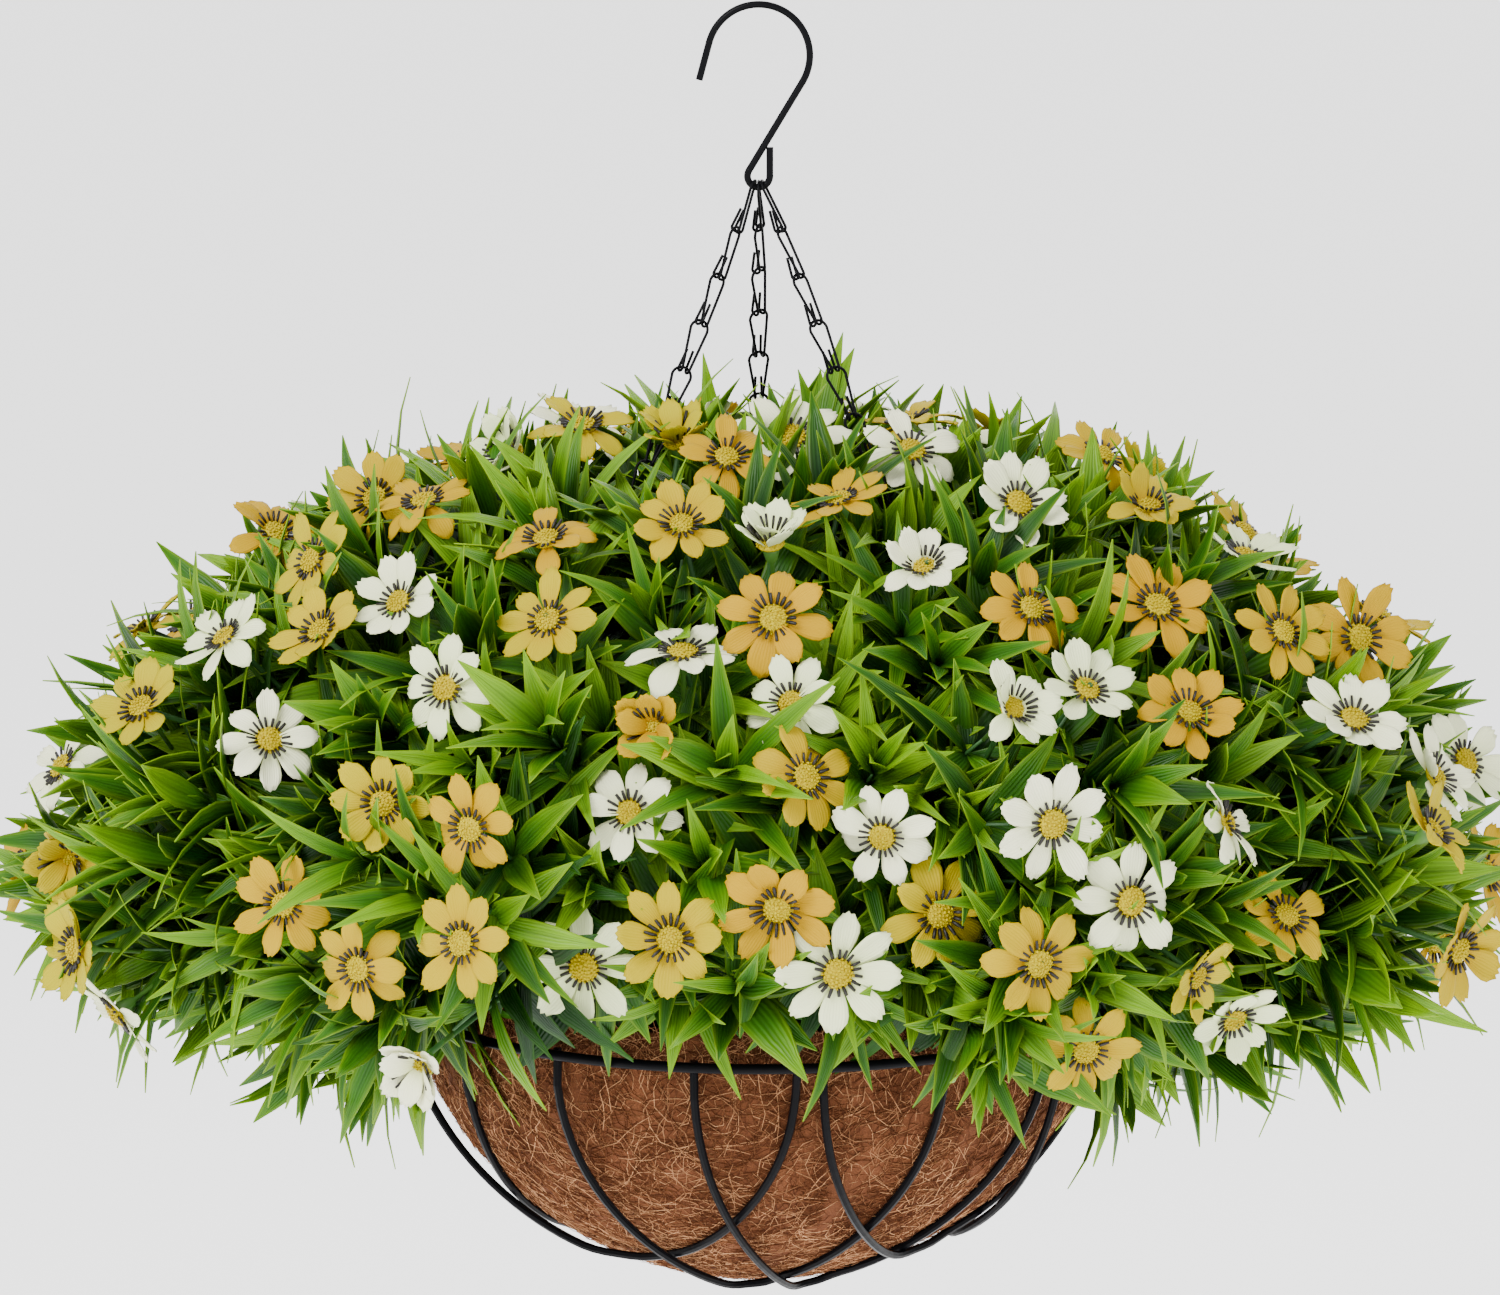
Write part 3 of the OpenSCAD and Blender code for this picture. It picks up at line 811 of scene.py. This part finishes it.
def skin_spots(node, count):
    """Points over the outer skin of a bush's layer of leaves, with their normals."""
    mesh = nodes[node].data
    mesh.calc_loop_triangles()
    points = np.array([v.co for v in mesh.vertices])
    tri = points[np.array([t.vertices for t in mesh.loop_triangles])]
    normal = np.cross(tri[:, 1] - tri[:, 0], tri[:, 2] - tri[:, 0])
    area = np.linalg.norm(normal, axis=1)
    keep = area > 1e-10
    tri, normal, area = tri[keep], normal[keep] / area[keep, None], area[keep]
    away = tri.mean(1) - np.array([0, 0, rim_centre.z + 50 * MM])
    away /= np.linalg.norm(away, axis=1, keepdims=True)
    outer = (normal * away).sum(1) > 0.55
    tri, normal, area = tri[outer], normal[outer], area[outer]
    pick = draw.choice(len(tri), count, p=area / area.sum())
    a, b = draw.random(count), draw.random(count)
    flip = a + b > 1
    a[flip], b[flip] = 1 - a[flip], 1 - b[flip]
    spots = tri[pick, 0] + a[:, None] * (tri[pick, 1] - tri[pick, 0]) + b[:, None] * (
        tri[pick, 2] - tri[pick, 0])
    return spots, normal[pick], area.sum() / 2


def whorl(place, out, count, spread, size, tone):
    """Leaves that fan out from one point of a stem, at about the same lean from its direction."""
    axis = Vector(out).normalized()
    side = axis.orthogonal().normalized()
    start = draw.random() * math.tau
    leaves = []
    for k in range(count):
        around = start + math.tau * k / count + draw.normal(0, 0.25)
        lean = spread + draw.normal(0, 0.16)
        direction = Matrix.Rotation(around, 3, axis) @ (axis * math.cos(lean) + side * math.sin(lean))
        scale = size * draw.uniform(0.8, 1.15)
        leaves.append((place, lying(direction, axis), (scale * draw.uniform(0.85, 1.15), scale, scale),
                       draw.integers(len(leaf_kinds)), np.clip(tone + draw.normal(0, 0.2), 0, 1)))
    return leaves


def in_liner(place):
    """Whether a place lies in the liner or in what it holds."""
    return place.z < liner_high.z + 4 * MM and math.hypot(place.x, place.y) < liner_r + 6 * MM


def spray(tip, out, bare):
    """Tiers of leaves and a stalk, ending at a tip. A bare spray leaves room for a bloom."""
    tone = draw.uniform(0.1, 0.85)
    sideways = min(abs(tip.x) / (300 * MM), 1)
    tip = tip - out * 10 * MM * sideways
    leaves = []
    # Each tier's tone is shifted by its painted light: darker deep in the bush as painted shade, lighter
    # near the tip.
    for depth, count, spread, size, painted_tier_light in bloom_tiers if bare else leafy_tiers:
        place = tip - out * depth * MM
        if not in_liner(place):
            leaves += whorl(place, out, count, spread * (1 - 0.3 * sideways), size * (1 + 0.12 * sideways),
                            tone + painted_tier_light)
    foot = tip - out * stalk_depth
    stalks = [] if in_liner(foot) else [(foot, facing(out, 0), (1, 1, 1 if bare else 0.9),
                                         draw.integers(len(stalk_bows)), tone)]
    return leaves, stalks


def outward(place, normal):
    """The way a stem grows at a place: away from the heart, along the skin's normal, and low ones down."""
    radial = (Vector(place) - heart).normalized()
    way = (radial * 0.6 + Vector(normal) * 0.4 + Vector(draw.normal(0, 0.12, 3))).normalized()
    low = min(max((rim_centre.z + 45 * MM - place[2]) / (60 * MM), 0), 1)
    if over_the_rim(Vector(place)):
        low *= 0.4
    way.z += (-0.75 - way.z) * low
    return way.normalized()


def over_the_rim(place):
    """Whether a place is low at the front, where the foliage is thin and shows the liner's edge."""
    return place.y < 0 and abs(place.x) < 135 * MM and place.z < rim_centre.z + 42 * MM


def show(name, group, material, spots, finish_slot, *stands_for):
    """A piece of placed shapes that rides on the basket, in place of pieces of the frame."""
    piece = stand(name, group, material, spots)
    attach(piece, "basket")
    if stands_for:
        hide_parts(*stands_for)


for i in range(1, bush_count + 1):
    bush = f"bush_{i}"
    seats = {colour: bloom_seats(f"{bush}_{colour}_blooms") for colour in ("cream", "yellow")}
    leaves, stalks, discs, black_marks, cups = [], [], [], [], []
    taken = []
    for colour, places in seats.items():
        corollas = []
        for foot, axis in places:
            towards_front = 0.35 if foot.y < 0.05 else 0.0
            face = axis + Vector((0, -1, 0.25)) * towards_front + Vector(draw.normal(0, 0.34, 3))
            kind = int(draw.choice(len(openings), p=kind_odds))
            size = draw.uniform(0.93, 1.08)
            seat = (foot + axis * draw.uniform(-5, 6) * MM, facing(face, draw.random() * math.tau),
                    (size,) * 3)
            tone = draw.random()
            corollas.append((*seat, kind, tone))
            black_marks.append((*seat, kind, tone))
            discs.append((*seat, kind % disc_kinds, tone))
            cups.append((*seat, 0, tone))
            more, stalk = spray(foot + axis * 2 * MM, outward(foot, axis), True)
            leaves += more[::4] if over_the_rim(foot) else more
            stalks += stalk
            taken.append(tuple(foot))
        show(f"{bush}_{colour}_petals", corolla_shapes, yellow_petal if colour == "yellow" else cream_petal,
             corollas, f"{colour}_petal", f"{bush}_{colour}_blooms")
    spots, normals, area = skin_spots(f"{bush}_leaves", skin_samples)
    for k in even_spots(spots, int(area * sprays_per_m2), taken):
        out = outward(spots[k], normals[k])
        tip = Vector(spots[k]) + out * draw.uniform(-12, 8) * MM
        if over_the_rim(tip) and (tip.z < rim_centre.z + 6 * MM or draw.random() < 0.6):
            continue
        more, stalk = spray(tip, out, False)
        leaves += more
        stalks += stalk
    # Whorls deep inside the bush, given the darker copy of the leaf finish as painted shade.
    inner = []
    spots, normals, area = skin_spots(f"{bush}_leaves", skin_samples)
    for k in even_spots(spots, int(area * inner_whorls_per_m2)):
        out = outward(spots[k], normals[k])
        place = Vector(spots[k]) - out * draw.uniform(60, 85) * MM
        if not in_liner(place):
            inner += whorl(place, out, 5, 1.0, 1.1, draw.uniform(0.1, 0.8))
    show(f"{bush}_bright_leaves", leaf_shapes, bright_leaf, leaves, "leaf", f"{bush}_leaves")
    show(f"{bush}_inner_leaves", inner_leaf_shapes, deep_leaf, inner, "leaf")
    show(f"{bush}_stalks", stalk_shapes, stem_green, stalks, "stem")
    show(f"{bush}_discs", disc_shapes, bead, discs, "yellow_petal")
    show(f"{bush}_disc_marks", mark_shapes, black_mark, black_marks, "yellow_petal")
    show(f"{bush}_bloom_cups", cup_shapes, cup_green, cups, "stem")
    coat(f"{bush}_stems", stem_green)

size = {"cad": [list(cad_low), list(cad_high)], "visual": [list(p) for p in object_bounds()]}
